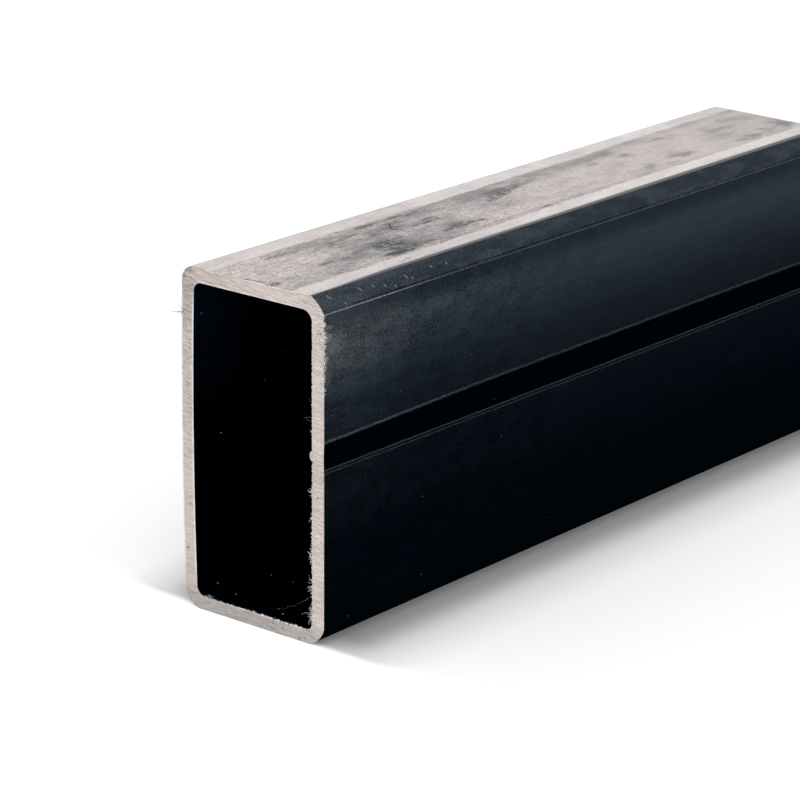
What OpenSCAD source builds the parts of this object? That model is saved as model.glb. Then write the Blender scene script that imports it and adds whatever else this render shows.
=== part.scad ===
// Rectangular steel tube, cold roll-formed from strip and welded along one tall side.
// Millimetres. The length runs along X, the tall sides face -Y and +Y, and the base lies on Z = 0.
// The origin is in the middle of the base. The weld is in the -Y side, the near end at -X.

/* [Tube] */
// Height of the section, outside
section_h = 120; // [80:1:200]
// Width of the section, outside
section_w = 60; // [40:1:120]
// Wall thickness
wall_t = 5; // [3:0.5:8]
// Length between the two saw cuts, measured where it is longest
tube_l = 300; // [100:10:6000]
// Outward bow of the back at its middle, which the rolls left in it
back_bow = 0.8; // [0.1:0.1:1.5]

/* [Saw cut at the near end] */
// Angle by which the cut is turned from square, seen from above
cut_turn = 1.5; // [-3:0.05:3]
// Angle by which the cut leans back from square, seen from the side
cut_lean = 0.75; // [-3:0.05:3]

/* [Bends, outside] */
// Reach of the upper bend on the weld side, from the corner along each face
weld_top_reach = 5.4; // [3:0.1:9]
// Angle by which that bend breaks away from the flat faces, 0 for a smooth round
weld_top_break = 29; // [0:1:35]
// Reach of the lower bend on the weld side
weld_foot_reach = 6.6; // [3:0.1:9]
// Break angle of the lower bend on the weld side
weld_foot_break = 15; // [0:1:35]
// Reach of the upper bend on the back
back_top_reach = 4; // [3:0.1:9]
// Break angle of the upper bend on the back
back_top_break = 14; // [0:1:35]
// Reach of the lower bend on the back
back_foot_reach = 6; // [3:0.1:9]
// Break angle of the lower bend on the back
back_foot_break = 12; // [0:1:35]

/* [Bends, inside] */
// Radius inside the upper bend on the weld side
weld_top_in_r = 4; // [1:0.1:6]
// Radius inside the lower bend on the weld side
weld_foot_in_r = 2.6; // [1:0.1:6]
// Radius inside the upper bend on the back
back_top_in_r = 3.2; // [1:0.1:6]
// Radius inside the lower bend on the back
back_foot_in_r = 3.2; // [1:0.1:6]

/* [Weld] */
// Height of the weld line above the middle of the side
weld_rise = 6; // [-20:1:20]
// Width of the bead left inside the bore
bead_w = 3.8; // [2:0.1:8]
// Height of the bead above the inner face
bead_h = 1; // [0.5:0.1:2]
// Width of the band outside where the bead was scarfed off
scarf_w = 9.6; // [5:0.1:16]
// Depth of that band at its middle
scarf_d = 0.15; // [0.05:0.05:0.5]

/* [Hidden] */
$fn = 96;
over = 1; // cutting shapes run this far past the face that they cut
bow_steps = 25; // straight pieces of the bow, an odd number, so that its crest is one of them
bore_w = section_w - 2 * wall_t;
bore_h = section_h - 2 * wall_t;
weld_z = section_h / 2 + weld_rise;

// Bends run anticlockwise from the upper back corner: reach along each face, break angle
outer_bends = [
    [back_top_reach, back_top_break],
    [weld_top_reach, weld_top_break],
    [weld_foot_reach, weld_foot_break],
    [back_foot_reach, back_foot_break]
];
inner_bends = [
    [back_top_in_r, 0],
    [weld_top_in_r, 0],
    [weld_foot_in_r, 0],
    [back_foot_in_r, 0]
];

// Radius of the arc whose chord is chord and whose rise at the middle is rise
function arc_r(chord, rise) = (chord * chord / 4 + rise * rise) / (2 * rise);

// What a bend takes off a square corner that points to +X +Y at the origin.
// Its arc leaves both faces at the distance reach, turned from them by the break angle.
module bend_cut(reach, break) {
    half_angle = 45 - break;
    bend_r = reach / (sqrt(2) * sin(half_angle));
    inset = reach / 2 + bend_r * cos(half_angle) / sqrt(2); // from the corner to the arc's centre
    difference() {
        translate([-inset, -inset]) square(inset + over);
        translate([-inset, -inset]) circle(r = bend_r);
    }
}

// A rectangle that stands on Y = 0, with one bend at each corner
module bent_rectangle(w, h, bends) {
    corners = [[w / 2, h], [-w / 2, h], [-w / 2, 0], [w / 2, 0]];
    difference() {
        translate([-w / 2, 0]) square([w, h]);
        for (i = [0:3])
            translate(corners[i]) rotate(90 * i) bend_cut(bends[i][0], bends[i][1]);
    }
}

// What the bow adds to a back of the height span, whose lower end is at the origin.
// It swells as a parabola, which lies close to a very flat arc.
module bow(span) {
    function swell(t) = 4 * back_bow * t * (1 - t);
    polygon(concat(
        [[-over, 0]],
        [for (i = [0:bow_steps]) let (t = i / bow_steps) [swell(t), span * t]],
        [[-over, span]]
    ));
}

// A bent rectangle whose back is bowed between its bends
module bowed_rectangle(w, h, bends) {
    foot = bends[3][0];
    bent_rectangle(w, h, bends);
    translate([w / 2, foot]) bow(h - foot - bends[0][0]);
}

// Round of the weld bead, which stands on the inner face of the weld side
module bead() {
    bead_r = arc_r(bead_w, bead_h);
    translate([-bore_w / 2 + bead_h - bead_r, weld_z]) circle(r = bead_r);
}

// Sweep of the scarfing tool along the outer face of the weld side
module scarf() {
    scarf_r = arc_r(scarf_w, scarf_d);
    translate([-section_w / 2 + scarf_d - scarf_r, weld_z]) circle(r = scarf_r);
}

// Space inside the walls, with the bead left standing
module bore() {
    difference() {
        translate([0, wall_t]) bowed_rectangle(bore_w, bore_h, inner_bends);
        bead();
    }
}

// Section of the tube as its sawn end shows it, the weld side on the left
module section() {
    difference() {
        bowed_rectangle(section_w, section_h, outer_bends);
        bore();
        scarf();
    }
}

// What the near saw cut takes away. It starts at the corner where the tube stays longest.
module near_cut() {
    side = section_h + section_w;
    longest_y = (cut_turn < 0 ? -1 : 1) * section_w / 2;
    longest_z = cut_lean < 0 ? 0 : section_h;
    translate([-tube_l / 2, longest_y, longest_z])
        rotate([0, -cut_lean, cut_turn])
            translate([-side, -side, -side]) cube([side, 2 * side, 2 * side]);
}

module tube() {
    color("slategray")
        difference() {
            rotate([90, 0, 90]) linear_extrude(height = tube_l, center = true) section();
            near_cut();
        }
}

tube();
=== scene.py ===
import functools
import math
import random

import bmesh
import bpy
from mathutils import Matrix, Vector


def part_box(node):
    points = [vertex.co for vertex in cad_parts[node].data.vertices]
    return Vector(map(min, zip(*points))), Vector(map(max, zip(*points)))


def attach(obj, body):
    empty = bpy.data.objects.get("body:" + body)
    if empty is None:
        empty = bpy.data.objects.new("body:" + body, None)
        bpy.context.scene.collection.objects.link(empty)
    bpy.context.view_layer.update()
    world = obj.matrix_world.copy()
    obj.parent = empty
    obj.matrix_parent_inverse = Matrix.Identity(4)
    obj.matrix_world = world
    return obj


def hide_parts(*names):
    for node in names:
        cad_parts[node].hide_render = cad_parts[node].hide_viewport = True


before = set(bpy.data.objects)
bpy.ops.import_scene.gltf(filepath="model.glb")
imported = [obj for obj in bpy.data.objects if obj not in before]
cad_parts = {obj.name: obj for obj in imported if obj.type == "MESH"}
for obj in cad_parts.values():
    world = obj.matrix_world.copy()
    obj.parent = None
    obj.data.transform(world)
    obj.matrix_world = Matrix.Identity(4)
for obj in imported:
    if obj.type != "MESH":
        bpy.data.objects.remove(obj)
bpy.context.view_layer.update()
print("frame loaded:", sorted(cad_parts))

mm = 0.001


def addObject(name, data):
    piece = bpy.data.objects.new(name, data)
    bpy.context.scene.collection.objects.link(piece)
    return piece


def turned(degrees, axis):
    return Matrix.Rotation(math.radians(degrees), 4, axis)


# Camera first: the photographer stood in front of the sawn end, to the left and above

cameraSet = {
    "place": (-0.93775, -0.70825, 0.4369),
    "aim": (-0.07312, 0.0, 0.06082),
    "lens": 154.75,
    "sensor": 36,                      # mm wide
    "roll": 0.984,                     # degrees, the picture's right side up
    "clip": (0.05, 50),
}


def makeCamera():
    s = cameraSet
    camera = addObject("camera", bpy.data.cameras.new("camera"))
    camera.data.sensor_width = s["sensor"]
    camera.data.lens = s["lens"]
    camera.data.clip_start, camera.data.clip_end = s["clip"]
    place = Vector(s["place"])
    turn = (Vector(s["aim"]) - place).to_track_quat("-Z", "Y").to_matrix().to_4x4()
    camera.matrix_world = Matrix.Translation(place) @ turn @ turned(s["roll"], "Z")
    bpy.context.scene.camera = camera


makeCamera()
print("camera placed")


# Shader sums are written as Python: a Flow is one output socket, and its operators add Math nodes

class Flow:
    def __init__(self, tree, socket):
        self.tree = tree
        self.socket = socket

    def make(self, kind, settings=None, values=None, output=0):    # any other node
        node = self.tree.nodes.new(kind)
        for name, value in (settings or {}).items():
            if name == "stops":
                for i, (place, colour) in enumerate(value):
                    stop = node.color_ramp.elements[i] if i < 2 else node.color_ramp.elements.new(place)
                    stop.position = place
                    stop.color = colourOf(colour)
            else:
                setattr(node, name, value)
        for key, value in (values or {}).items():
            if isinstance(value, Flow):
                self.tree.links.new(value.socket, node.inputs[key])
            else:
                node.inputs[key].default_value = value
        return Flow(self.tree, node.outputs[output])

    def math(self, operation, *others):
        return self.make("ShaderNodeMath", {"operation": operation}, dict(enumerate((self, *others))))

    def __add__(self, other):
        return self.math("ADD", other)

    def __sub__(self, other):
        return self.math("SUBTRACT", other)

    def __rsub__(self, other):
        return self.make("ShaderNodeMath", {"operation": "SUBTRACT"}, {0: other, 1: self})

    def __mul__(self, other):
        return self.math("MULTIPLY", other)

    def __truediv__(self, other):
        return self.math("DIVIDE", other)

    def __abs__(self):
        return self.math("ABSOLUTE")

    __radd__ = __add__
    __rmul__ = __mul__

    def most(self, other):
        return self.math("MAXIMUM", other)

    def least(self, other):
        return self.math("MINIMUM", other)

    def clipped(self):
        return self.most(0.0).least(1.0)

    def root(self):
        return self.math("SQRT")

    def rise(self, low, high, start=0.0, end=1.0):    # start below low, end above high, smooth between
        return self.make("ShaderNodeMapRange", {"interpolation_type": "SMOOTHSTEP"},
                         {"Value": self, "From Min": low, "From Max": high, "To Min": start, "To Max": end})

    def fall(self, low, high):                        # 1 below low and 0 above high
        return self.rise(low, high, 1.0, 0.0)

    def band(self, middle, half, soft):               # 1 within half of the middle, fading over soft
        return abs(self - middle).fall(half, half + soft)

    def tint(self, under, over):                      # self is the share of the colour over
        return self.make("ShaderNodeMix", {"data_type": "RGBA"},
                         {0: self, 6: colourOf(under), 7: colourOf(over)}, 2)

    def scaled(self, amount):                         # a colour made lighter or darker
        return self.make("ShaderNodeVectorMath", {"operation": "SCALE"}, {0: self, "Scale": amount})


def colourOf(value):
    return value if isinstance(value, Flow) else (*value, 1)


def sizeOf(value):                     # a size is one number, or three along X, Y and Z
    return value if isinstance(value, tuple) else (value,) * 3


# Marks on a plane of two coordinates, u and v, in millimetres

def strongest(marks):
    return functools.reduce(Flow.most, marks)


def distance(u, v):
    return (u * u + v * v).root()


def spot(u, v, dot):                   # a round dot: place and radius
    return distance(u - dot[0], v - dot[1]).fall(dot[2] / 2, dot[2])


def oval(u, v, place):                 # 0 at the middle and 1 at the edge: place and half sizes
    return distance((u - place[0]) / place[2], (v - place[1]) / place[3])


def stroke(u, v, line, half, soft):    # a scratch: start and end
    du, dv = line[2] - line[0], line[3] - line[1]
    pu, pv = u - line[0], v - line[1]
    along = ((pu * du + pv * dv) / (du * du + dv * dv)).clipped()
    return distance(pu - along * du, pv - along * dv).fall(half, half + soft)


lightLevel = 1.17                      # how brightly the stage lights a white face that looks up


def seen(red, green, blue):            # a colour as it is seen in that light, each part from 0 to 255
    def linear(part):
        share = part / 255
        return share / 12.92 if share < 0.04045 else ((share + 0.055) / 1.055) ** 2.4
    return tuple(linear(part) / lightLevel for part in (red, green, blue))


class Ground:                          # the coordinates of one material, in millimetres of the object
    def __init__(self, name):
        self.material = bpy.data.materials.new(name)
        self.material.use_nodes = True
        self.tree = self.material.node_tree
        self.shader = self.tree.nodes["Principled BSDF"]
        start = Flow(self.tree, self.tree.nodes.new("ShaderNodeTexCoord").outputs["Object"])
        self.place = start.scaled(1 / mm)
        parts = start.make("ShaderNodeSeparateXYZ", {}, {0: self.place}).socket.node.outputs
        self.x, self.y, self.z = (Flow(self.tree, part) for part in parts)

    def shifted(self, size, shift, seed, place=None):  # the place counted in sizes, elsewhere for each seed
        return self.place.make("ShaderNodeMapping", {}, {
            "Vector": place or self.place, "Location": tuple(seed * s for s in shift),
            "Scale": tuple(1 / s for s in sizeOf(size))})

    def grain(self, size, seed, detail, rough, low=None, high=None, place=None):
        # cloudy noise whose lumps have this size
        moved = self.shifted(size, (7.3, 3.1, 5.7), seed, place)
        flow = moved.make("ShaderNodeTexNoise", {}, {
            "Vector": moved, "Scale": 1.0, "Detail": detail, "Roughness": rough})
        return flow if low is None else flow.rise(low, high)

    def specks(self, spacing, radius, seed, share):
        # dots of the radius, in this share of the cells of the spacing
        moved = self.shifted(spacing, (4.1, 8.3, 2.9), seed)
        near = moved.make("ShaderNodeTexVoronoi", {"feature": "F1"}, {"Vector": moved, "Scale": 1.0})
        colour = Flow(self.tree, near.socket.node.outputs["Color"])
        chance = near.make("ShaderNodeSeparateColor", {}, {0: colour})
        reach = radius / min(sizeOf(spacing))
        return near.fall(reach / 2, reach) * chance.rise(1 - share, 1.02 - share)

    def finish(self, colour, roughness, metallic, height=None, depth=0.05, specular=0.5):
        links = self.tree.links
        inputs = self.shader.inputs
        for name, value in (("Base Color", colour), ("Roughness", roughness), ("Metallic", metallic)):
            if isinstance(value, Flow):
                links.new(value.socket, inputs[name])
            else:
                inputs[name].default_value = value
        inputs["Specular IOR Level"].default_value = specular
        if height is not None:         # the height from 0 to 1 stands for depth millimetres
            bump = height.make("ShaderNodeBump", {}, {
                "Height": height, "Strength": 1.0, "Distance": depth * mm})
            links.new(bump.socket, inputs["Normal"])
        return self.material


# The tube itself: two outlines are drawn point by point, drawn out along X, sawn off and closed

tubeLow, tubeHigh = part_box("tube")
tubeSet = {
    "length": 300 * mm,
    "width": -2 * tubeLow[1],
    "backBow": tubeHigh[1] + tubeLow[1],   # the back swells this much at its middle
    "height": tubeHigh[2] - tubeLow[2],
    "wall": 5 * mm,
    # bends run from the upper back corner over the weld side: reach, break angle in degrees, inner radius
    "bends": [
        (4.0 * mm, 14, 3.2 * mm), (5.4 * mm, 29, 4.0 * mm),
        (6.6 * mm, 15, 2.6 * mm), (6.0 * mm, 12, 3.2 * mm),
    ],
    "bendParts": 24,
    "weldHeight": 66 * mm,
    "scarfWidth": 9.6 * mm,
    "scarfDepth": 0.15 * mm,
    "beadWidth": 3.8 * mm,
    "beadHeight": 1.0 * mm,
    "weldParts": 30,
    # how many pieces each flat is drawn in: top, weld side above and below the weld, base, back
    "flatParts": (150, 150, 190, 150, 320),
    "spare": 3 * mm,                   # the outlines start this far in front of the cut and are sawn back
    "cutTurn": 1.5,                    # the saw stood this many degrees off square, seen from above
    "cutLean": 0.75,                   # and leaned this many degrees
    "cutRings": (0.25 * mm, 0.6 * mm, 1.1 * mm, 2.0 * mm, 4.0 * mm),
    "firstRing": 14 * mm,
    "evenRings": 5,
    "faceRings": (0.12 * mm, 0.3 * mm),
    "drawBack": 8 * mm,                # how far an inner rim is drawn back while its end is bridged
    "tiny": 1e-6,                      # points closer than this count as one
    "sawSlack": 1e-7,                  # and the saw takes what is this near its plane as on it
}
farX = tubeHigh[0]
cutCorner = Vector((farX - tubeSet["length"], tubeSet["width"] / 2, tubeHigh[2]))   # the tube is longest here
cutNormal = turned(tubeSet["cutTurn"], "Z") @ turned(-tubeSet["cutLean"], "Y") @ Vector((-1, 0, 0))


def cutDepth(place):                   # how far inside the slanted cut a place lies
    return (cutCorner - place).dot(cutNormal)


def onCut(y, z, inside=0.0):           # the place on the slanted cut at y and z
    start = Vector((cutCorner.x, y, z))
    start.x -= (inside - cutDepth(start)) / cutNormal.x
    return start


def arcRadius(chord, rise):
    return (chord * chord / 4 + rise * rise) / (2 * rise)


def swell(z, low, high):               # how far a back from low to high stands out at the height z
    share = (z - low) / (high - low)
    return 4 * tubeSet["backBow"] * share * (1 - share)


def startEdit():
    bpy.ops.object.mode_set(mode="EDIT")


def endEdit():
    bpy.ops.object.mode_set(mode="OBJECT")


def selectAll():
    bpy.ops.mesh.select_all(action="SELECT")


def faceOutwards():
    selectAll()
    bpy.ops.mesh.normals_make_consistent(inside=False)


def deselect():
    if bpy.context.object and bpy.context.object.mode != "OBJECT":
        endEdit()
    bpy.ops.object.select_all(action="DESELECT")


def activate(piece):
    deselect()
    piece.select_set(True)
    bpy.context.view_layer.objects.active = piece


def joinUp(pieces, name):              # the first piece takes up the others
    activate(pieces[0])
    for piece in pieces:
        piece.select_set(True)
    bpy.ops.object.join()
    pieces[0].name = name
    pieces[0].data.name = name
    return pieces[0]


class Pen:                             # draws an outline in edit mode, across the tube
    def __init__(self, x, y, z):
        deselect()
        bpy.ops.mesh.primitive_plane_add(size=1, location=(0, 0, 0))
        self.object = bpy.context.object
        startEdit()
        selectAll()
        bpy.ops.mesh.merge(type="CENTER")
        bpy.ops.transform.translate(value=(x, y, z))
        self.x, self.y, self.z = x, y, z

    def line(self, y, z, parts):
        step = (0, (y - self.y) / parts, (z - self.z) / parts)
        bpy.ops.mesh.extrude_repeat(steps=parts, offset=step, scale_offset=1)
        self.y, self.z = y, z

    def arc(self, y, z, radius, parts, left=True):    # left: the centre lies on the left of the way
        dy, dz = y - self.y, z - self.z
        half = math.hypot(dy, dz) / 2
        side = (1 if left else -1) * math.sqrt(radius * radius - half * half) / (2 * half)
        centre = (self.x, (self.y + y) / 2 - dz * side, (self.z + z) / 2 + dy * side)
        angle = 2 * math.asin(half / radius) * (-1 if left else 1)
        bpy.ops.mesh.spin(steps=parts, angle=angle, center=centre, axis=(1, 0, 0))
        self.y, self.z = y, z

    def bulge(self, low, high):        # swells the upright line that was drawn last
        mesh = bmesh.from_edit_mesh(self.object.data)
        for v in mesh.verts:
            v.co.y += swell(v.co.z, low, high)
        bmesh.update_edit_mesh(self.object.data)

    def close(self):
        selectAll()
        bpy.ops.mesh.remove_doubles(threshold=tubeSet["tiny"])
        endEdit()
        return self.object


def drawOutline(inset, bends, weldWidth, weldRise):
    # runs up the back, over the top, down the weld side and back along the base
    s = tubeSet
    back = s["width"] / 2 - inset
    top = s["height"] - inset
    foot = inset
    weldTop, weldFoot = s["weldHeight"] + weldWidth / 2, s["weldHeight"] - weldWidth / 2
    topParts, upperParts, lowerParts, baseParts, backParts = s["flatParts"]
    (a, aRadius), (b, bRadius), (c, cRadius), (d, dRadius) = bends
    pen = Pen(cutCorner.x - s["spare"], back, foot + d)
    pen.line(back, top - a, backParts)
    pen.bulge(foot + d, top - a)
    pen.arc(back - a, top, aRadius, s["bendParts"])
    pen.line(b - back, top, topParts)
    pen.arc(-back, top - b, bRadius, s["bendParts"])
    pen.line(-back, weldTop, upperParts)
    pen.arc(-back, weldFoot, arcRadius(weldWidth, weldRise), s["weldParts"], left=False)
    pen.line(-back, foot + c, lowerParts)
    pen.arc(c - back, foot, cRadius, s["bendParts"])
    pen.line(back - d, foot, baseParts)
    pen.arc(back, foot + d, dRadius, s["bendParts"])
    return pen.close()


def pick(kind, test):                  # selects the verts, edges or faces that pass the test
    bpy.ops.mesh.select_mode(type=kind[:-1].upper())
    bpy.ops.mesh.select_all(action="DESELECT")
    mesh = bmesh.from_edit_mesh(bpy.context.object.data)
    count = 0
    for part in getattr(mesh, kind):
        if test(part):
            part.select_set(True)
            count += 1
    mesh.select_flush_mode()
    bmesh.update_edit_mesh(bpy.context.object.data)
    return count


def inWalls(place):                    # within the middle of the walls, seen along the tube
    s = tubeSet
    halfWall = s["wall"] / 2
    return abs(place.y) < s["width"] / 2 - halfWall and halfWall < place.z < s["height"] - halfWall


def closeEnd(depthOf, way):            # bridges the two rims of a sawn end, with rings along both rims
    s = tubeSet
    reach = s["drawBack"] + s["tiny"]

    def innerRim(v):
        return inWalls(v.co) and depthOf(v.co) < reach and any(e.is_boundary or e.seam for e in v.link_edges)

    # a bridge pairs the points of two level rims the wrong way round, so one is drawn back meanwhile
    pick("edges", lambda e: all(innerRim(v) and depthOf(v.co) < s["tiny"] for v in e.verts))
    bpy.ops.mesh.mark_seam()
    bpy.ops.transform.translate(value=(-way * s["drawBack"], 0, 0))
    pick("edges", lambda e: e.is_boundary and all(depthOf(v.co) < reach for v in e.verts))
    bpy.ops.mesh.bridge_edge_loops()
    pick("edges", lambda e: e.seam and all(innerRim(v) for v in e.verts))
    bpy.ops.transform.translate(value=(way * s["drawBack"], 0, 0))
    bpy.ops.mesh.mark_seam(clear=True)
    pick("faces", lambda f: all(abs(depthOf(v.co)) < s["tiny"] for v in f.verts))
    for ring in s["faceRings"]:
        bpy.ops.mesh.inset(thickness=ring, depth=0, use_boundary=True, use_even_offset=True)


def makeTube():
    s = tubeSet
    outerBends = [(reach, reach / (math.sqrt(2) * math.sin(math.radians(45 - breakAngle))))
                  for reach, breakAngle, inner in s["bends"]]
    innerBends = [(inner, inner) for reach, breakAngle, inner in s["bends"]]
    outer = drawOutline(0, outerBends, s["scarfWidth"], s["scarfDepth"])
    inner = drawOutline(s["wall"], innerBends, s["beadWidth"], s["beadHeight"])
    piece = joinUp([outer, inner], "sawnTube")

    # both outlines are drawn out along the tube
    startEdit()
    bpy.ops.mesh.select_mode(type="EDGE")
    selectAll()
    cuts = list(s["cutRings"])
    startX = cutCorner.x + s["firstRing"]
    evenStep = (farX - cuts[-1] - startX) / s["evenRings"]
    stops = [startX + evenStep * i for i in range(s["evenRings"] + 1)]
    stops += [farX - c for c in reversed([0] + cuts[:-1])]
    last = cutCorner.x - s["spare"]
    for stop in stops:
        bpy.ops.mesh.extrude_edges_move(TRANSFORM_OT_translate={"value": (stop - last, 0, 0)})
        last = stop

    # the saw takes the spare length off, and rings follow its slanted plane
    selectAll()
    bpy.ops.mesh.bisect(plane_co=cutCorner, plane_no=cutNormal, clear_outer=True, threshold=s["sawSlack"])
    for c in cuts:
        selectAll()
        bpy.ops.mesh.bisect(plane_co=cutCorner - cutNormal * c, plane_no=cutNormal, threshold=s["sawSlack"])
    print("walls drawn out:", len(bmesh.from_edit_mesh(piece.data).faces), "faces")

    closeEnd(cutDepth, -1)
    closeEnd(lambda place: farX - place.x, 1)
    faceOutwards()
    endEdit()
    return piece


tube = makeTube()
print("tube modelled:", len(tube.data.polygons), "faces")


# Regions of the tube take their finishes by place

regions = ["sawnSteel", "topSkin", "weldSkin", "darkSkin", "boreSkin"]


def paintRegions():
    s = tubeSet
    activate(tube)
    for name in regions:
        tube.data.materials.append(bpy.data.materials.new(name + "Slot"))
    crispY = s["bends"][1][0] - s["width"] / 2         # where the weld bend leaves the top
    footZ = s["bends"][2][0]
    tests = {
        "darkSkin": lambda place, normal: True,
        "weldSkin": lambda place, normal: place.y < crispY and place.z > footZ,
        "topSkin": lambda place, normal: place.z > s["height"] - s["tiny"],
        "boreSkin": lambda place, normal: inWalls(place),
        "sawnSteel": lambda place, normal: abs(normal.x) > 0.9,
    }
    startEdit()
    for name, test in tests.items():
        print("region", name, pick("faces", lambda f: test(f.calc_center_median(), f.normal)), "faces")
        tube.active_material_index = regions.index(name)
        bpy.ops.object.material_slot_assign()
    endEdit()


paintRegions()
print("regions painted")


# Saw burrs: the rims are roughened by displacement, and single burrs are pulled out one by one

burrSet = {
    # rims: group name, direction, lump size, strength, middle level
    "rims": [
        ("outerBack", "Y", 0.7 * mm, 0.35 * mm, 0.5),
        ("innerWeld", "Y", 0.5 * mm, 0.5 * mm, 0.42),
        ("innerBase", "Z", 0.7 * mm, 0.85 * mm, 0.44),
        ("outerWeld", "Y", 0.45 * mm, 0.75 * mm, 0.5),
        ("outerTop", "Z", 1.4 * mm, 0.3 * mm, 0.45),
    ],
    # how rough a rim is by the distance from its edge: share, from, to
    "fades": [(1.0, -1 * mm, 0.05 * mm), (0.8, 0.05 * mm, 0.2 * mm), (0.45, 0.2 * mm, 0.5 * mm)],
    # the rough stretches: inside the weld wall apart from its bead, outside it, over the top, and the base
    # apart from its ends
    "weldSpan": (8 * mm, 111 * mm),
    "beadHalf": 3 * mm,
    "flakeSpan": (88 * mm, 114 * mm),
    "topSpan": (-16 * mm, 18 * mm),
    "baseMargin": 3 * mm,
    # single burrs: y, z on the cut, pull along X, Y and Z, reach, all in millimetres
    "pulls": [
        (30, 94.4, 0, 0.7, 0.2, 0.5), (30, 92.6, 0, 0.9, 0.5, 0.45), (30, 71.0, 0, 0.4, 0, 0.5),
        (-30, 111.8, 0.1, -0.9, 0.2, 0.5), (-30, 108.6, 0.2, -0.5, 0, 1.2), (-30, 107.2, 0.2, -0.9, 0, 1.3),
        (-30, 105.6, 0.1, -0.6, 0, 0.8), (-30, 101.9, 0.1, -0.6, 0, 0.7), (-30, 99.8, 0.1, -0.5, 0, 0.6),
        (-30, 93.6, 0, -0.7, 0.2, 0.5), (-30, 92.4, 0, -0.5, 0, 0.5), (-30, 88.4, 0, -0.7, -0.3, 0.5),
        (20.2, 5, 0, 0, 0.5, 0.5), (9.6, 5, 0, 0.1, -0.5, 0.5), (2.4, 5, 0, 0, -0.4, 0.7),
        (-8.8, 5, 0, 0, -0.6, 0.5), (-15.0, 5, 0, 0, -0.4, 0.8), (-17.6, 5, 0, 0, 0.4, 0.5),
        (-25, 83.5, 0, 0.5, 0, 0.5), (-25, 74.2, 0, 0.9, 0.1, 0.45), (-25, 73.2, 0, 0.5, 0, 0.4),
        (-25, 63.8, 0, -0.35, 0, 0.9), (-25, 62.2, 0, 0.3, 0, 0.5), (-25, 53.6, 0, 1.0, 0.2, 0.9),
        (-25, 52.4, 0, 0.6, -0.2, 0.6), (-25, 44.5, 0, 1.0, 0, 0.6), (-25, 39.0, 0, 0.8, 0.1, 0.6),
        (-25, 37.8, 0, 0.6, 0, 0.5), (-25, 33.0, 0, 0.5, 0, 1.2), (-25, 30.8, 0, 1.3, 0, 0.8),
        (-25, 29.4, 0, 0.9, 0.1, 0.5), (-25, 20.4, 0, 0.9, 0, 0.4), (-25, 18.3, 0, 0.8, -0.2, 0.5),
        (-25, 9.6, 0.1, 1.1, 0, 0.9), (-25, 8.4, 0, 0.7, 0.3, 0.6), (12, 120, 0.1, 0, 0.25, 1.6),
        (6, 120, 0, 0, 0.3, 1.8), (0, 120, 0, 0, 0.25, 1.5),
    ],
}


def groupRim(name, distanceOf):        # the rim's points on both faces, weaker away from the edge
    activate(tube)
    startEdit()
    group = tube.vertex_groups.new(name=name)
    tube.vertex_groups.active_index = group.index
    for share, low, high in burrSet["fades"]:
        bpy.context.scene.tool_settings.vertex_group_weight = share
        pick("verts", lambda v: low <= max(distanceOf(v.co), cutDepth(v.co)) < high)
        bpy.ops.object.vertex_group_assign()
    endEdit()


def roughenRims():
    s = tubeSet
    b = burrSet
    half = s["width"] / 2
    inner = half - s["wall"]
    backLow, backHigh = s["bends"][3][0], s["height"] - s["bends"][0][0]
    weldLow, weldHigh = b["weldSpan"]
    flakeLow, flakeHigh = b["flakeSpan"]
    topLow, topHigh = b["topSpan"]

    def within(low, place, high, gap):  # the gap to the rim, or a metre outside its rough stretch
        return gap if low < place < high else 1.0

    rims = {
        "outerBack": lambda p: within(backLow, p.z, backHigh, half + swell(p.z, backLow, backHigh) - p.y),
        "innerWeld": lambda p: within(
            weldLow, p.z, weldHigh, within(b["beadHalf"], abs(p.z - s["weldHeight"]), 1.0, abs(p.y + inner))),
        "innerBase": lambda p: within(-1.0, abs(p.y), inner - b["baseMargin"], abs(p.z - s["wall"])),
        "outerWeld": lambda p: within(flakeLow, p.z, flakeHigh, half + p.y),
        "outerTop": lambda p: within(topLow, p.y, topHigh, s["height"] - p.z),
    }
    for name, direction, lump, strength, middle in b["rims"]:
        groupRim(name, rims[name])
        texture = bpy.data.textures.new(name, "CLOUDS")
        texture.noise_scale = lump
        texture.noise_depth = 3
        texture.contrast = 1.8
        bend = tube.modifiers.new(name, "DISPLACE")
        bend.texture = texture
        bend.texture_coords = "LOCAL"
        bend.direction = direction
        bend.strength = strength
        bend.mid_level = middle
        bend.vertex_group = name
        activate(tube)
        bpy.ops.object.modifier_apply(modifier=name)


def pullBurrs():
    activate(tube)
    startEdit()
    bpy.ops.mesh.select_mode(type="VERT")
    mesh = bmesh.from_edit_mesh(tube.data)
    rim = [(v.index, v.co.copy()) for v in mesh.verts if abs(cutDepth(v.co)) < 0.3 * mm]
    for y, z, pullX, pullY, pullZ, reach in burrSet["pulls"]:
        place = onCut(y * mm, z * mm)
        index = min(rim, key=lambda item: (item[1] - place).length)[0]
        bpy.ops.mesh.select_all(action="DESELECT")
        mesh = bmesh.from_edit_mesh(tube.data)
        mesh.verts.ensure_lookup_table()
        mesh.verts[index].select_set(True)
        mesh.select_flush_mode()
        bpy.ops.transform.translate(value=Vector((pullX, pullY, pullZ)) * mm, use_proportional_edit=True,
                                    proportional_edit_falloff="SHARP", proportional_size=reach * mm)
    endEdit()


roughenRims()
pullBurrs()
print("burrs made")


# Swarf: thin curls and hairs of steel that the saw left hanging on the edges of the cut

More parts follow.
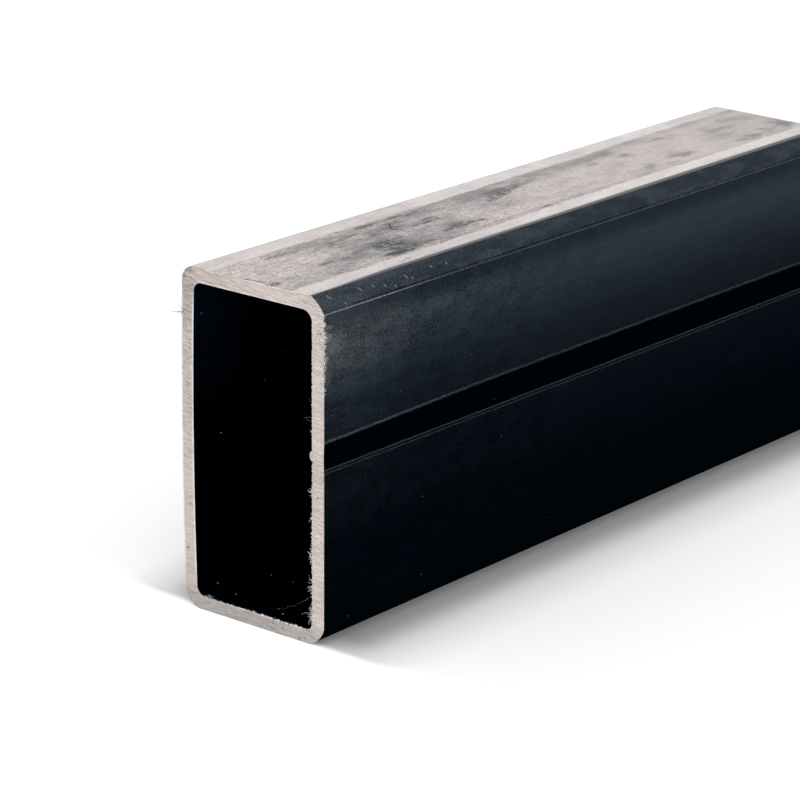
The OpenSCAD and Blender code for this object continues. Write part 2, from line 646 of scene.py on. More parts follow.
swarfSet = {
    "sides": 5,
    "joints": 7,
    "taper": 0.84,
    "buried": 0.3 * mm,
    "behindCut": 0.35 * mm,
    # curls on the inner edge of the weld wall: height, length, thickness in millimetres, then facing, turn
    # and curl in degrees
    "curls": [
        (84.0, 2.2, 0.035, 20, 0, 5), (79.0, 4.2, 0.03, 5, 10, -6), (77.8, 3.2, 0.03, -20, 0, 8),
        (74.3, 1.6, 0.1, 10, 20, 5), (73.6, 1.2, 0.1, -20, 0, 12), (55.0, 1.6, 0.11, 30, 10, 14),
        (54.2, 3.0, 0.17, 12, -20, -7), (53.2, 2.4, 0.15, -8, 25, 10), (52.3, 1.6, 0.12, -28, -10, -12),
        (45.2, 1.6, 0.12, 12, 0, 10), (44.2, 2.0, 0.12, -5, 40, -9), (40.8, 2.2, 0.11, 30, 10, 18),
        (39.4, 2.4, 0.11, -10, -20, -20), (38.4, 2.2, 0.13, 20, -20, 15), (37.4, 1.6, 0.11, -25, 10, -16),
        (35.6, 2.0, 0.12, 35, 20, 18), (34.4, 2.6, 0.13, 20, 20, 22), (33.4, 2.2, 0.15, -15, -35, -20),
        (32.4, 2.0, 0.24, 10, -5, 12), (31.6, 2.4, 0.3, 0, 10, 8), (30.8, 1.8, 0.28, -15, 15, 12),
        (30.2, 2.8, 0.12, 25, -15, -24), (29.2, 2.2, 0.13, -15, -10, -12), (28.0, 1.6, 0.1, -35, 10, 20),
        (22.8, 2.4, 0.11, 35, 10, -18), (21.8, 3.6, 0.12, 14, -5, 12), (20.8, 3.0, 0.13, -6, 15, -16),
        (20.2, 3.4, 0.09, 25, 0, -14), (19.2, 2.8, 0.13, -25, 5, 18), (18.2, 2.0, 0.12, -42, -15, 20),
        (12.6, 2.4, 0.13, 40, 0, -16), (11.6, 3.6, 0.13, 25, -10, 14), (10.9, 4.8, 0.11, 12, 12, -8),
        (10.2, 4.0, 0.16, 0, -20, 14), (9.4, 3.4, 0.18, -12, 15, -16), (8.8, 2.8, 0.17, -30, -20, 14),
        (8.2, 2.2, 0.15, -45, 10, -12), (10.5, 2.6, 0.2, 20, 30, 24), (9.0, 2.4, 0.2, 5, -30, -26),
    ],
    # one long thread hangs from that edge down to the base
    "thread": (17.6, 19.0, 0.024, -44, 8, 2.4),
    "threadJoints": 14,
    # wires on the outer edge of the back
    "backWires": [
        (103.9, 6.6, 0.17, 10, 82, 4), (104.0, 3.2, 0.15, 80, 20, -12), (103.4, 2.2, 0.14, -72, 35, 18),
        (103.8, 2.8, 0.12, 62, 64, -14),
    ],
    # fringes of short hairs: from (y, z) to (y, z), facing in degrees, number, longest, thickest
    "fringes": [
        ((-30, 87), (-30, 113.6), 180, 34, 0.35, 0.28), ((-30, 104), (-30, 109), 180, 12, 0.6, 0.3),
        ((-30, 111.2), (-30, 112.0), 180, 3, 0.8, 0.16), ((-25, 11), (-25, 108), 0, 60, 0.7, 0.08),
        ((-25, 28.5), (-25, 34.5), 0, 22, 1.7, 0.09), ((-25, 36), (-25, 46), 0, 14, 1.3, 0.07),
        ((-25, 51.5), (-25, 55.5), 0, 8, 1.7, 0.08), ((-25, 8), (-25, 12.5), 0, 14, 2.4, 0.09),
        ((-25, 19), (-25, 23), 0, 8, 2.0, 0.07), ((30.6, 60), (30.3, 99), 0, 16, 0.6, 0.06),
        ((22, 5), (-20, 5), 90, 18, 0.5, 0.09), ((21, 5), (18.5, 5), 90, 12, 1.5, 0.07),
        ((-12, 120), (14, 120), 90, 14, 0.5, 0.1),
    ],
    "hairJoints": 4,
    "hairBends": (-26, -10, 8, 24),    # each shape of hair turns by one of these at its joints
    "hairThick": 0.1,
    "seed": 7,
}


def makeCurl(length, thick, curl, joints):             # grows along Z from the origin
    s = swarfSet
    deselect()
    bpy.ops.mesh.primitive_circle_add(vertices=s["sides"], radius=thick * mm, fill_type="NGON")
    piece = bpy.context.object
    startEdit()
    bpy.ops.mesh.select_mode(type="FACE")
    selectAll()
    step = Vector((0, 0, length * mm / joints))
    bend = turned(curl, "X")
    tip = Vector((0, 0, 0))
    for _ in range(joints):
        bpy.ops.mesh.extrude_region_move(TRANSFORM_OT_translate={"value": step})
        tip += step
        bpy.ops.transform.rotate(value=-math.radians(curl), orient_axis="X", center_override=tip)
        bpy.ops.transform.resize(value=(s["taper"],) * 3, center_override=tip)
        step = bend @ step
    faceOutwards()
    endEdit()
    return piece


def seatCurl(piece, y, z, facing, turn, sizes=(1, 1, 1)):
    # facing is 0 towards +Y and 90 upwards, and turn leads out of the cut towards -X
    s = swarfSet
    angle = math.radians(facing)
    seat = onCut(y * mm - math.cos(angle) * s["buried"],
                 z * mm - math.sin(angle) * s["buried"], s["behindCut"])
    lay = turned(facing, "X") @ turned(turn, "Z") @ turned(-90, "X")
    piece.matrix_world = Matrix.Translation(seat) @ lay @ Matrix.Diagonal((*sizes, 1))
    return piece


def makeSwarf():
    s = swarfSet
    half = tubeSet["width"] / mm / 2
    inner = -half + tubeSet["wall"] / mm
    pieces = []
    rows = ((inner, s["threadJoints"], [s["thread"]]), (inner, s["joints"], s["curls"]),
            (half, s["joints"], s["backWires"]))
    for y, joints, row in rows:
        for height, length, thick, facing, turn, curl in row:
            pieces.append(seatCurl(makeCurl(length, thick, curl, joints), y, height, facing, turn))
    print("curls made:", len(pieces))

    # the hairs are copies of a few shapes, strewn along their edges
    shapes = [makeCurl(1, s["hairThick"], bend, s["hairJoints"]) for bend in s["hairBends"]]
    chance = random.Random(s["seed"])
    for start, end, facing, number, longest, thickest in s["fringes"]:
        for _ in range(number):
            shape = chance.choice(shapes)
            hair = addObject("hair", shape.data.copy())
            share = chance.random()
            y, z = (a + (b - a) * share for a, b in zip(start, end))
            long = longest * chance.uniform(0.35, 1.0) + s["buried"] / mm
            thick = thickest / s["hairThick"] * chance.uniform(0.5, 1.0)
            turn = chance.uniform(-20, 45)
            pieces.append(seatCurl(hair, y, z, facing + chance.uniform(-50, 50), turn, (thick, thick, long)))
    for shape in shapes:
        bpy.data.objects.remove(shape)
    whole = joinUp(pieces, "edgeSwarf")
    bpy.ops.object.transform_apply(location=True, rotation=True, scale=True)
    return whole


swarf = makeSwarf()
print("swarf hung on:", len(swarf.data.polygons), "faces")


# Finishes

sawnSet = {
    "tone": seen(215, 204, 198),
    "warm": (1.015, 0.992, 0.985),     # small patches of the tone are warmer by these factors
    "cool": (0.985, 1.0, 1.004),       # and others cooler
    # the base wall's painted shade near the floor
    "foot": seen(180, 174, 170),
    "pit": seen(70, 62, 58),
    "mark": seen(128, 119, 112),
    "glint": seen(246, 241, 238),
    "flake": seen(240, 238, 236),
    "flakeShade": seen(104, 99, 96),
    "tilt": -0.07,                     # the saw lines drop this much for each millimetre towards the back
    "bowFoot": 8,                      # the bow's glint starts this far from the base and the top
    # darker stretches up the back wall and the weld wall: middle, half, fade, share
    "backShades": [(100, 10, 8, 0.13), (75, 8, 7, 0.09)],
    "weldShade": (60, 4, 6, 0.1),
    # pits left in the walls: y, z, radius
    "pits": [
        (28.9, 20.9, 0.6), (27.6, 37.0, 0.4), (28.4, 104.9, 0.35), (27.8, 105.8, 0.3), (28.3, 99.0, 0.3),
        (27.9, 79.0, 0.35), (28.6, 78.2, 0.3), (27.5, 67.6, 0.3), (-27.4, 52.0, 0.5), (-8.0, 3.4, 0.4),
        (-19.6, 0.9, 0.5), (-22.0, 1.6, 0.4), (-28.4, 110.2, 0.35), (-27.7, 109.0, 0.35),
        (-28.5, 108.2, 0.4), (-27.4, 107.9, 0.4), (-28.1, 111.4, 0.3), (-27.2, 110.9, 0.3),
        (-28.0, 106.2, 0.3), (-27.0, 106.9, 0.25), (19.5, 3.6, 0.4), (12.5, 2.2, 0.35), (-12.4, 3.0, 0.3),
        (3.0, 1.2, 0.3),
    ],
}


def sawnSteel(g):
    s = sawnSet
    half = tubeSet["width"] / mm / 2
    wall = tubeSet["wall"] / mm
    height = tubeSet["height"] / mm
    climb = g.z + g.y * s["tilt"]
    swept = climb.make("ShaderNodeCombineXYZ", {}, {0: g.x * 0.05, 1: g.y, 2: climb})
    lines = g.grain((60, 5.0, 0.3), 1, 3.0, 0.65, 0.4, 0.6, swept)
    grooves = g.grain((60, 6.0, 0.42), 2, 2.0, 0.6, 0.56, 0.68, swept)
    broad = g.grain((60, 30, 7), 3, 2.0, 0.5, 0.4, 0.6, swept)
    patchy = g.grain((3, 3.2, 1.4), 4, 3.0, 0.6, 0.42, 0.58)
    speckle = g.grain(0.42, 5, 2.0, 0.6, 0.42, 0.58)
    onBack = g.y.rise(23, 26)
    level = 1 - onBack * g.z.band(60, 50, 4)
    rougher = 0.22 + level * 0.12 + onBack * g.z.rise(20, 75) * 0.14
    light = 0.94 + (lines - 0.5) * rougher - grooves * (0.11 + onBack * 0.1)
    light = light + broad * 0.07 + (speckle - 0.5) * 0.18
    light = light - g.y.rise(-8, 20) * g.z.rise(108, 114) * 0.13 + g.z.fall(5, 8) * g.y.fall(-20, -6) * 0.1
    shades = g.z.fall(14, 24) * 0.08 + g.z.rise(96, 106) * 0.12
    for middle, reach, fade, share in s["backShades"]:
        shades = shades + g.z.band(middle, reach, fade) * share
    middle, reach, fade, share = s["weldShade"]
    light = light - onBack * shades - (1 - onBack) * g.z.band(middle, reach, fade) * share
    warm, cool = (tuple(a * b for a, b in zip(s["tone"], s[name])) for name in ("warm", "cool"))
    # painted shade: the base wall is painted greyer towards the floor
    tone = (g.z.fall(4.0, 8.0) * 0.9).tint(patchy.tint(warm, cool), s["foot"]).scaled(light)
    # brown marks high on the back wall
    marks = g.grain((60, 2.4, 0.5), 6, 3.0, 0.65, 0.58, 0.66, swept) * onBack * g.z.band(92, 14, 6)
    tone = (marks * 0.45).tint(tone, s["mark"])
    # the rims catch the light: along the bowed back on both sides, under and over the top, over the base
    share = (g.z - s["bowFoot"]) / (height - 2 * s["bowFoot"])
    across = g.y - share * (1 - share) * (4 * tubeSet["backBow"] / mm)
    broken = g.grain((60, 1.6, 1.6), 7, 2.0, 0.6, 0.4, 0.56)
    tall = g.z.rise(10, 16) * g.z.fall(106, 113)
    wide = g.y.rise(-23, -20) * g.y.fall(21, 24)
    glint = strongest([
        across.band(half - wall + 0.3, 0.22, 0.22) * tall * (0.45 + broken * 0.4),
        across.band(half - 0.18, 0.14, 0.22) * tall * (0.25 + broken * 0.35),
        g.z.band(height - wall + 0.2, 0.14, 0.22) * wide * (0.3 + broken * 0.3),
        g.z.band(height - 0.18, 0.12, 0.22) * wide * broken * 0.4,
        g.z.band(wall - 0.18, 0.14, 0.24) * wide * g.y.fall(4, 10) * broken * 0.85,
    ])
    tone = glint.tint(tone, s["glint"])
    # the upper weld wall ends in flakes
    ragged = g.y + (speckle - 0.5) * 1.2
    flaky = g.z.rise(86, 92) * g.z.fall(112.5, 115) * ragged.fall(-29.2, -28.4)
    dots = g.grain((0.5, 0.5, 0.55), 8, 2.0, 0.6, 0.42, 0.58)
    tone = (flaky * 0.6).tint(tone, dots.tint(s["flakeShade"], s["flake"]))
    pits = strongest(spot(g.y, g.z, pit) for pit in s["pits"])
    tone = (pits * 0.75).tint(tone, s["pit"])
    relief = lines * 0.5 + speckle * 0.3 - pits + flaky * dots * 0.8
    return g.finish(tone, 0.46 + broad * 0.12, 0.2, relief, 0.03, 0.2)


topSet = {
    "strip": seen(218, 208, 205),
    "stripFar": seen(220, 213, 211),
    "light": seen(203, 192, 189),
    "haze": seen(150, 147, 147),
    "dark": seen(70, 76, 82),
    # painted shade where the strip breaks into the weld bend
    "edge": seen(56, 61, 72),
    "scratch": seen(48, 50, 52),
    "backLine": 17.8,                  # where the centre meets the strip along the back
    "weldLine": -16.6,                 # and the strip along the weld side
    # dark patches: place x, y, half length, half width, share
    "patches": [
        (-87, -5.5, 15, 10, 1.0), (-88, -13, 17, 4, 1.15), (-110, -5, 19, 5, 0.45),
        (-147, -7.5, 4.5, 2.8, 1.0), (-88, 9, 36, 8, 0.58), (-69, 8, 8, 8, 0.7), (-50, -6.5, 12, 7, 0.85),
        (-54, 5.5, 11, 3.4, 0.65), (-8, 7.5, 12, 6, 0.85), (-11, -14.2, 5, 2.4, 0.9), (23, 11, 8, 8, 1.0),
        (-12, 13, 22, 5, 0.55), (-53, 14.5, 8, 3, 0.7), (-74, 14.5, 5, 3, 0.6), (136, -7, 14, 8, 0.9),
        (46, 8.5, 14, 5, 0.6), (65, 9, 13, 11, 0.95), (94, 12, 13, 7, 0.95), (59, -9, 13, 8, 0.9),
        (80, -8, 16, 10, 1.0), (120, -10, 18, 7, 0.95), (132, -7.5, 11, 8, 1.4), (146, -8, 15, 10, 1.1),
        (68, -11.5, 11, 6, 1.35), (-122, -14, 7, 2.5, 0.7), (-62, -15, 9, 2, 0.6), (-62, 11, 6, 4, 0.7),
    ],
    # veils of haze: place x, y, half length, half width, share
    "veils": [
        (-22, 14.5, 120, 8, 1.0), (-84, -7, 52, 15, 0.85), (-36, 3, 46, 12, 0.45), (128, 0, 30, 20, 0.45),
        (-82, 7, 34, 9, 0.85), (-136, -11, 22, 7, 0.5), (110, 18, 70, 4, 0.6), (-20, -15, 150, 3, 0.55),
    ],
    # stains on the strip along the weld side, likewise
    "stains": [(-95, -20.2, 1.8, 0.9, 0.5), (-98, -20.8, 1.2, 0.6, 0.5)],
    # smears dragged along the tube: from x, y to x, y, half width
    "smears": [
        (-120, -4.4, -114, -4.2, 0.5), (-113, -6.2, -107, -5.6, 0.5), (-103, -3.0, -90, -1.6, 0.7),
        (-93, -6.0, -79, -8.6, 1.6), (-86, -4.4, -75.5, -1.2, 1.0), (-84, -10.8, -72, -12.0, 1.0),
        (-63, 3.8, -50, 3.2, 0.9), (-60, -8.6, -50, -6.6, 0.9), (-50, -6.6, -40, -9.2, 0.8),
        (-20, 4.6, -6, 7.6, 1.4), (-9, 8.6, 3, 10.6, 1.2), (-13, 11.2, -4, 11.8, 1.4),
        (-16, 7.4, -8, 8.4, 1.2), (-89, -0.6, -82, -2.4, 1.4), (-92, -4.0, -88, -10.0, 1.2),
        (-80, -6.0, -76, -12.4, 1.4), (-85, -9.0, -79, -10.2, 1.2), (-128, 13.4, -112, 12.8, 0.5),
        (-99, 10.4, -84, 10.8, 0.7), (-80, 15.2, -56, 15.4, 0.9), (-12.6, -13.8, -9.4, -14.2, 0.5),
    ],
    # scratches: from x, y to x, y
    "scratches": [
        (-66.8, 11.4, -71.6, 6.4), (-71.6, 6.4, -69.3, 2.8), (-149.2, 4.5, -148.2, -1.5),
        (-148.2, -1.5, -147.2, -4.0),
    ],
}


def topSkin(g):
    s = topSet
    focus = g.x.fall(-70, 60)          # the photo loses its fine grain along the tube
    softer = 1.6 - focus * 1.2
    wander = g.grain((11, 40, 40), 1, 3.0, 0.6) - 0.5
    jag = g.grain((1.3, 40, 40), 2, 2.0, 0.6) - 0.5
    backLine = (g.y + wander * 3 + jag * 1.4 - s["backLine"] - g.x.rise(20, 90) * 1.4) / softer
    weldLine = (g.y + wander * 2.5 + jag * 2.0 - s["weldLine"] - g.x.rise(-60, 0) * 1.3) / softer
    strips = backLine.rise(-0.6, 1.0).most(weldLine.fall(-0.5, 0.5))
    streaks = g.grain((8, 1.2, 1.2), 3, 5.0, 0.7) - 0.5
    mottle = g.grain((2.0, 1.1, 1.1), 11, 3.0, 0.65) - 0.5
    threads = g.grain((6, 0.5, 0.5), 13, 4.0, 0.7) - 0.5
    fine = g.grain((0.6, 0.5, 0.5), 4, 2.0, 0.6) - 0.5
    clouds = g.grain((14, 6, 6), 5, 4.0, 0.6) - 0.5

    def cover(ovals, inner):           # the strongest of several soft ovals
        return strongest(oval(g.x, g.y, p).fall(inner, 1.0) * p[4] for p in ovals)

    # dirt lies in patches and smears, over veils of haze
    patches = cover(s["patches"], focus * 0.7 - 0.4)
    veils = cover(s["veils"], 0.5)
    ragged = g.y + streaks * 7
    smears = strongest(stroke(g.x, ragged, p, p[4] * 0.2, p[4] * 1.6) for p in s["smears"])
    ink = (patches * 1.2 + streaks * 5.5 + threads * 4.5 + mottle * 4.0 + clouds * 2.0).rise(0.5, 1.1)
    smooth = (patches * 1.2 + clouds * 4.5 + streaks * 1.5 + mottle).rise(0.2, 1.2)
    dirt = (ink * focus + smooth * (1 - focus) * 0.66) * (0.2 + patches * 0.8)
    dirt = dirt.most(smears * (0.66 + mottle * 3 + threads * 4))
    haze = veils * (0.8 + clouds * 2.5 + streaks * 2.0) + (clouds + 0.06).rise(0, 0.16) * 0.22
    grainy = fine * (0.2 + focus * 1.9) + mottle * (0.5 + focus * 1.4) + streaks * (0.7 + focus * 0.8)
    tone = haze.clipped().tint(s["light"], s["haze"]).scaled(1.0 + grainy)
    tone = (dirt.clipped() * (1 - strips)).tint(tone, s["dark"])
    shades = g.y.rise(-5, 5) * 0.04 + g.x.band(-84, 26, 30) * 0.06 + g.x.rise(118, 138) * 0.12
    satin = 1.0 + clouds * 0.7 + fine * (0.1 + focus * 0.6) + mottle * 0.3 - shades
    tone = strips.tint(tone, g.x.rise(-150, 60).tint(s["strip"], s["stripFar"]).scaled(satin))
    # painted shade: the strip darkens just before it breaks into the weld bend
    breakLine = g.x.rise(-142, -108, -24.4, -23.2) + g.x.rise(-30, 50, 0.0, 0.5)
    tone = (g.y - breakLine).fall(-0.3, 1.4).tint(tone, s["edge"])
    # dark specks sit along the strip's border, and a few crumbs anywhere
    row = g.y.band(s["weldLine"] + 0.1, 0.3, 0.5) * g.grain((9, 60, 60), 8, 2.0, 0.5, 0.48, 0.54) * focus
    specks = g.specks((1.3, 0.9, 0.9), 0.4, 9, 0.6) * row
    crumbs = g.specks(3.2, 0.28, 10, 0.4) * (0.3 + focus * 0.7)
    crumbs = crumbs.most(g.specks((2.0, 1.1, 1.1), 0.45, 12, 0.55) * patches.rise(0.5, 1.0) * focus)
    scratches = strongest(stroke(g.x, g.y, line, 0.22, 0.34) for line in s["scratches"])
    marks = (specks * 0.9 + crumbs * 0.6).most(cover(s["stains"], 0.5)).least(1.0).most(scratches * 0.9)
    tone = marks.tint(tone, s["scratch"])
    rough = 0.52 - strips * 0.12 + dirt * 0.1
    height = fine * (1 - strips * 0.6) + streaks * 0.6 * (1 - strips) - marks * 0.6
    return g.finish(tone, rough, 0.3, height, 0.03, 0.2)


weldSet = {
    # colours up the weld side, painted darker towards the foot as shade and lighter near the cut as sheen:
    # share of the height, near the cut, along the rest of the tube
    "stops": [
        (0, seen(0, 6, 12), seen(0, 6, 12)), (0.28, seen(1, 8, 14), seen(1, 8, 13)),
        (0.375, seen(9, 15, 21), seen(6, 12, 18)), (0.5, seen(14, 20, 26), seen(9, 15, 22)),
        (0.62, seen(22, 29, 37), seen(13, 20, 27)), (0.7, seen(28, 36, 45), seen(18, 26, 34)),
        (0.767, seen(44, 52, 58), seen(28, 37, 44)), (0.833, seen(62, 68, 73), seen(39, 47, 55)),
        (0.89, seen(68, 74, 79), seen(43, 52, 59)), (0.93, seen(48, 55, 62), seen(29, 38, 46)),
    ],
    "sideLight": 1.14,                 # the side gets this much less light than a face that looks up
    "bend": seen(64, 71, 79),
    "bendDark": seen(38, 46, 55),
    "black": seen(0, 3, 9),
    # painted highlight along the weld band's lips
    "litLip": seen(90, 94, 98),
    "powder": seen(176, 178, 176),
    "line": seen(150, 154, 156),
    "rollLine": 114.6,
    "scarfTop": 71.0,
    "scarfDrift": 1.0,                 # the band's upper edge climbs this much within the first 100 mm
    "scarfFoot": 62.4,
    # puffs of pale saw powder beside the cut: x, z, half length, half height, share
    "puffs": [
        (-148.0, 106.3, 1.7, 2.0, 0.95), (-147.7, 99.4, 2.0, 2.9, 0.95), (-148.2, 103.2, 1.3, 1.5, 0.6),
        (-146.8, 106.4, 4.0, 3.0, 0.42), (-147.8, 99.4, 3.2, 3.8, 0.4), (-146.4, 110.2, 3.6, 1.2, 0.28),
        (-143.5, 103.5, 8, 6, 0.16), (-147.5, 93.0, 4, 5, 0.13), (-148.2, 95.2, 1.3, 3.2, 0.5),
    ],
    # light ticks across the bend: from x, z to x, z
    "ticks": [
        (-142.6, 118.9, -142.0, 118.2), (-137.0, 116.0, -136.7, 115.6), (-127.9, 118.5, -127.3, 117.8),
        (-121.4, 118.1, -121.1, 117.7), (-116.4, 117.3, -116.0, 116.8), (-111.9, 116.3, -111.6, 115.9),
        (-105.4, 118.0, -104.7, 117.2), (-102.8, 116.9, -102.5, 116.5), (-91.7, 118.2, -91.4, 117.8),
        (-84.2, 117.8, -83.9, 117.4),
    ],
}


def weldSkin(g):
    s = weldSet
    focus = g.x.fall(-80, 20)          # the photo loses its fine grain along the tube
    height = g.z / (tubeSet["height"] / mm)
    # painted shade and sheen: the weld side darkens to near black at its foot and is lighter near the cut
    ramps = [[(place, colours[i]) for place, *colours in s["stops"]] for i in (0, 1)]
    nearTone, alongTone = (height.make("ShaderNodeValToRGB", {"stops": ramp}, {0: height}) for ramp in ramps)
    cloud = g.grain((34, 30, 16), 1, 3.0, 0.55)
    tone = (g.x + (cloud - 0.5) * 80).rise(-148, -85).tint(nearTone, alongTone)
    grainy = g.grain((0.62, 0.42, 0.42), 2, 3.0, 0.65, 0.4, 0.62)
    streaks = g.grain((22, 1.2, 0.6), 3, 4.0, 0.65, 0.4, 0.6)
    blotch = g.grain((9, 9, 6), 4, 4.0, 0.6, 0.4, 0.6)
    dust = g.z.rise(90, 98) * (g.z + (grainy - 0.5) * 2.4).fall(108.2, 110.2)
    contrast = 0.24 + focus * (0.6 + dust * 0.2)
    light = 1 + (grainy - 0.45) * contrast + (streaks - 0.5) * 0.16 + (blotch - 0.5) * (0.1 + focus * 0.22)
    tone = tone.scaled(light * s["sideLight"])
    # the bend above the roll line, lighter near the cut
    onBend = g.z.rise(s["rollLine"] + 0.1, s["rollLine"] + 0.4)
    bendCloud = g.grain((14, 4, 4), 5, 3.0, 0.6, 0.38, 0.62)
    bendTone = (bendCloud * 0.55 + g.x.rise(-135, -70) * 0.35).tint(s["bend"], s["bendDark"])
    tone = onBend.tint(tone, bendTone.scaled(1.05 + (grainy - 0.45) * (0.2 + focus * 0.65)))
    specks = g.specks((3.1, 1.8, 1.8), 0.22, 6, 0.2) * 0.34 * focus
    ticks = strongest(stroke(g.x, g.z, line, 0.06, 0.28) for line in s["ticks"])
    tone = (specks.most(ticks * 0.7) * g.z.rise(108, 116)).tint(tone, s["line"])
    # the roll line: a painted highlight along its thin crest that soon fades, with a dark dotted painted
    # shadow over it
    dotted = g.grain((0.8, 60, 60), 7, 2.0, 0.6, 0.44, 0.56)
    litCrest = g.z.band(s["rollLine"] - 0.05, 0.03, 0.28) * (0.55 + dotted * 0.45)
    litCrest = litCrest * g.x.rise(-126, -78, 0.9, 0.24)
    under = g.z.band(s["rollLine"] + 0.56, 0.06, 0.3) * g.x.rise(-148, -124, 0.15, 1.0)
    under = under * (0.9 - dotted * 0.5) * g.x.rise(-40, 80, 1.0, 0.6)
    tone = litCrest.tint(under.tint(tone, s["black"]), s["line"])
    # the scarfed weld band, with painted highlights along its two lips
    top = s["scarfTop"] + g.x.rise(-150, -50) * s["scarfDrift"]
    foot = s["scarfFoot"]
    jag = (g.grain((1.4, 60, 60), 8, 3.0, 0.7) - 0.5) * 0.9
    above = g.z - top + jag
    lowEdge = g.z + jag * 0.6
    inBand = above.fall(-0.3, 0.1) * lowEdge.rise(foot - 0.3, foot + 0.1)
    tone = inBand.tint(tone, s["black"])
    litLip = above.band(0.64, 0.18, 0.42) * (0.25 + grainy * 0.75) * g.x.rise(-150, -30, 0.85, 0.38)
    lowLitLip = lowEdge.band(foot - 0.4, 0.05, 0.3).most(lowEdge.band(foot - 1.6, 0.05, 0.3) * 0.8)
    tone = litLip.tint(tone, s["litLip"])
    tone = (lowLitLip * (0.12 + grainy * 0.4)).tint(tone, s["litLip"])
    # pale saw powder beside the cut, and bright chips
    drift = (g.grain(1.5, 9, 4.0, 0.7) - 0.5) * 1.6
    powder = strongest((oval(g.x, g.z, p) + drift).fall(0.1, 1.0) * p[4] for p in s["puffs"])
    tone = (powder * (0.55 + grainy * 0.45)).tint(tone, s["powder"])
    chips = g.specks(4.2, 0.26, 10, 0.28) * focus
    tone = (chips * 0.32).tint(tone, s["powder"])
    shine = g.z.rise(50, 90) * (1 - inBand) * 0.25
    rough = 0.5 + grainy * 0.1 - inBand * 0.12
    relief = grainy * 0.35 * (1 - inBand) + litCrest * 0.5 + litLip * 0.5 + lowLitLip * 0.4
    return g.finish(tone, rough, shine, relief, 0.04, 0.0)


darkSet = {
    "black": seen(2, 5, 9),
    "blue": seen(22, 30, 38),
    "grey": seen(46, 52, 57),
    "pale": seen(92, 96, 99),
    "rust": seen(74, 60, 50),
}


def darkSkin(g):
    s = darkSet
    grainy = g.grain((0.7, 0.45, 0.45), 1, 3.0, 0.65, 0.4, 0.62)
    streaks = g.grain((26, 1.6, 1.6), 2, 4.0, 0.65, 0.4, 0.6)
    cloud = g.grain((40, 16, 16), 3, 4.0, 0.6, 0.38, 0.62)
    rubbed = g.grain((12, 3, 3), 4, 5.0, 0.7, 0.56, 0.68)
    tone = (cloud * 0.5 + streaks * 0.35).tint(s["blue"], s["grey"])
    tone = (rubbed * 0.3).tint(tone, s["pale"])
    stain = g.grain((9, 7, 7), 5, 4.0, 0.7, 0.57, 0.66)
    tone = (stain * 0.3).tint(tone, s["rust"])
    tone = (g.specks(5, 0.24, 6, 0.35) * 0.5).tint(tone, s["pale"])
    # painted shade: the foot bend under the weld side is painted nearly black
    under = g.y.fall(-26, -18) * g.z.fall(7, 9)
    tone = (under * 0.95).tint(tone, s["black"])
    tone = tone.scaled(0.75 + grainy * 0.55 - under * 0.3)
    rough = 0.48 + grainy * 0.1 + cloud * 0.08
    return g.finish(tone, rough, 0.25 - under * 0.25, grainy * 0.4 + streaks * 0.3, 0.04, 0.0)


boreSet = {
    # the bore's painted shade, and the bluer painted light near its mouth
    "black": seen(0, 2, 6),
    "blue": seen(4, 20, 34),
    "dust": seen(190, 196, 196),
    # light dots on the back wall: x, z, radius
    "backDots": [(-145.8, 103.2, 0.28), (-113.7, 72.3, 0.26), (-105.1, 80.5, 0.18), (-135.7, 59.0, 0.32)],
    # and on the base: x, y, radius
    "baseDots": [
        (-118.8, 18.2, 0.34), (-118.7, 8.3, 0.24), (-139.7, 15.3, 0.36), (-142.5, -8.2, 0.42),
        (-138.9, 24.4, 0.26),
    ],
}


def boreSkin(g):
    s = boreSet
    streaks = g.grain((24, 2.2, 2.2), 1, 4.0, 0.65, 0.4, 0.6)
    # painted shade: the bore is painted near black, lighter and bluer along its upper part near the mouth,
    # where painted light reaches in
    upper = g.z.rise(64, 112) * g.x.fall(-142, -112)
    tone = ((streaks * 0.5 + 0.5) * upper).tint(s["black"], s["blue"])
    onBack = strongest(spot(g.x, g.z, dot) for dot in s["backDots"]) * g.y.rise(20, 22)
    onBase = strongest(spot(g.x, g.y, dot) for dot in s["baseDots"]) * g.z.fall(6, 8)
    dots = strongest([g.specks(11, 0.3, 2, 0.1) * 0.5, onBack, onBase])
    tone = (dots * 0.9).tint(tone, s["dust"])
    return g.finish(tone, 0.6 + streaks * 0.15, 0.1, streaks, 0.05, 0.0)


def swarfSteel(g):
    shine = g.grain(0.5, 1, 2.0, 0.5, 0.3, 0.7)
    tone = shine.tint(seen(132, 150, 150), seen(240, 243, 241))
    # the wires at the back are bluish
    tone = (g.y.rise(29, 30.5) * g.z.rise(99, 101) * 0.9).tint(tone, seen(36, 92, 84))
    return g.finish(tone, 0.45, 0.3, shine, 0.02)


for slot, maker in zip(tube.material_slots, (sawnSteel, topSkin, weldSkin, darkSkin, boreSkin)):
    slot.material = maker(Ground(maker.__name__))
swarf.data.materials.append(swarfSteel(Ground("swarfSteel")))
for piece, angle in ((tube, 10), (swarf, 50)):
    activate(piece)
    bpy.ops.object.shade_smooth_by_angle(angle=math.radians(angle))
    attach(piece, "root")
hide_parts("tube")
print("finishes laid")


# Floor, world and lamps

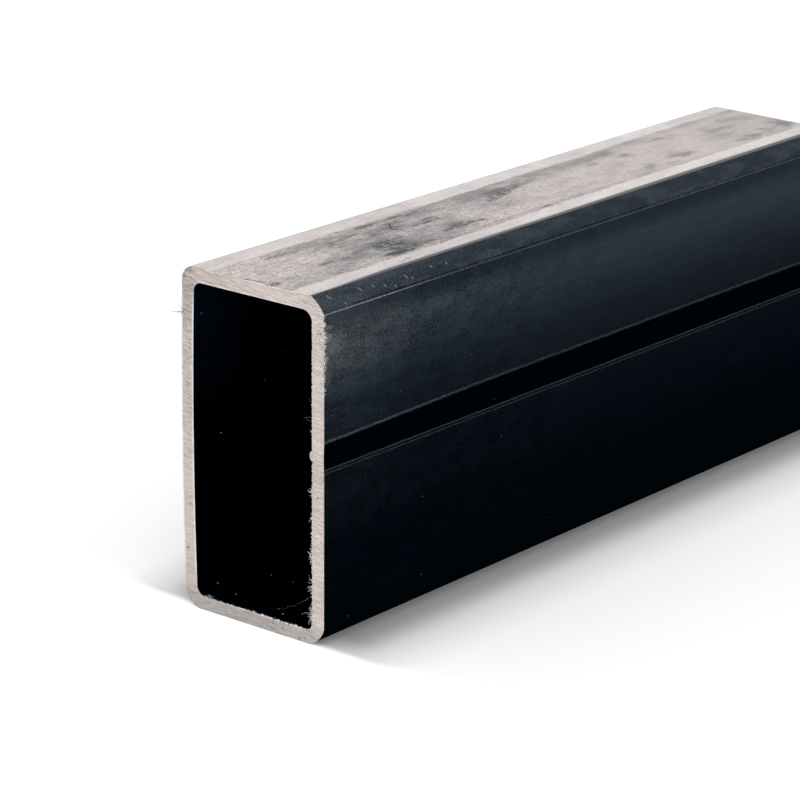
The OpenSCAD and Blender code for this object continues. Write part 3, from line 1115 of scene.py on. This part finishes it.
stageSet = {
    "floorSize": 12,
    "drop": 0.02 * mm,                 # the floor lies this far under the base
    "floorColour": (0.86, 0.86, 0.86),
    "lift": 0.12,                      # added to the floor for the camera and in reflections, to whiten it
    "frontLift": 0.4,                  # painted light added in front of the sawn end, so that no shadow shows there
    "frontReach": 70,                  # and that fades over this many millimetres
    "shade": 0.56,                     # painted shadow: the camera sees the floor this much darker beside the foot
    "shadeReach": 40,                  # and that fades over this many millimetres
    "contact": 0.6,                    # and a painted contact shadow, darker still, close to the foot
    "contactReach": 18,
    "contactStart": (3, 18),           # which sets in this far behind the sawn end
    "edgeHalf": 3.5,                   # the shade sets in over twice this length at the sawn end
    "sharpReach": 20,                  # and more softly further from the foot than this
    "worldColour": (1, 1, 1),
    "worldStrength": 0.87,
    "sun": {"from": (-0.62, -0.3, 1.0), "strength": 1.1, "angle": 40},
}


def shownTo(tree, *rays):              # 1 for these kinds of ray, 0 for the others
    path = tree.nodes.new("ShaderNodeLightPath")
    return strongest(Flow(tree, path.outputs[ray]) for ray in rays)


def makeStage():
    s = stageSet
    deselect()
    bpy.ops.mesh.primitive_plane_add(size=s["floorSize"], location=(0, 0, -s["drop"]))
    floor = bpy.context.object
    floor.name = "floor"
    g = Ground("floorWhite")
    halfLength = tubeSet["length"] / mm / 2
    besideX = (abs(g.x) - halfLength).most(0.0)
    besideY = (abs(g.y) - tubeSet["width"] / mm / 2).most(0.0)
    reach = distance(besideX, besideY)
    # painted shadow beside the foot and close to it, with painted light in front of the sawn end
    soft = (besideY - s["sharpReach"]).most(0.0) * 0.5 + s["edgeHalf"]
    beside = ((g.x + (halfLength - s["edgeHalf"])) / soft).rise(-1, 1)
    start, end = (depth - halfLength for depth in s["contactStart"])
    under = reach.rise(0, s["contactReach"], s["contact"], 0.0) * g.x.rise(start, end)
    shade = 1 - (1 - reach.rise(-10, s["shadeReach"], s["shade"], 0.0) * beside) * (1 - under)
    front = (1 - beside) * reach.fall(0, s["frontReach"])
    shown = shownTo(g.tree, "Is Camera Ray", "Is Glossy Ray")
    colour = (shade * shown).tint(s["floorColour"], (0, 0, 0))
    floor.data.materials.append(g.finish(colour, 0.9, 0.0, specular=0.0))
    # the lift whitens the floor evenly, plus painted light in front of the sawn end
    lift = shown * (front * s["frontLift"] + s["lift"])
    g.tree.links.new(lift.tint((0, 0, 0), (1, 1, 1)).socket, g.shader.inputs["Emission Color"])
    g.shader.inputs["Emission Strength"].default_value = 1.0

    world = bpy.data.worlds.new("studio")
    bpy.context.scene.world = world
    world.use_nodes = True
    back = world.node_tree.nodes["Background"]
    shown = shownTo(world.node_tree, "Is Camera Ray", "Is Glossy Ray", "Is Transmission Ray")
    strength = shown * (1 - s["worldStrength"]) + s["worldStrength"]
    back.inputs["Color"].default_value = (*s["worldColour"], 1)
    world.node_tree.links.new(strength.socket, back.inputs["Strength"])

    lamp = addObject("softSun", bpy.data.lights.new("softSun", "SUN"))
    lamp.data.energy = s["sun"]["strength"]
    lamp.data.angle = math.radians(s["sun"]["angle"])
    lamp.rotation_euler = (-Vector(s["sun"]["from"])).to_track_quat("-Z", "Y").to_euler()
    bpy.context.scene.view_settings.view_transform = "Standard"


makeStage()
print("stage set")
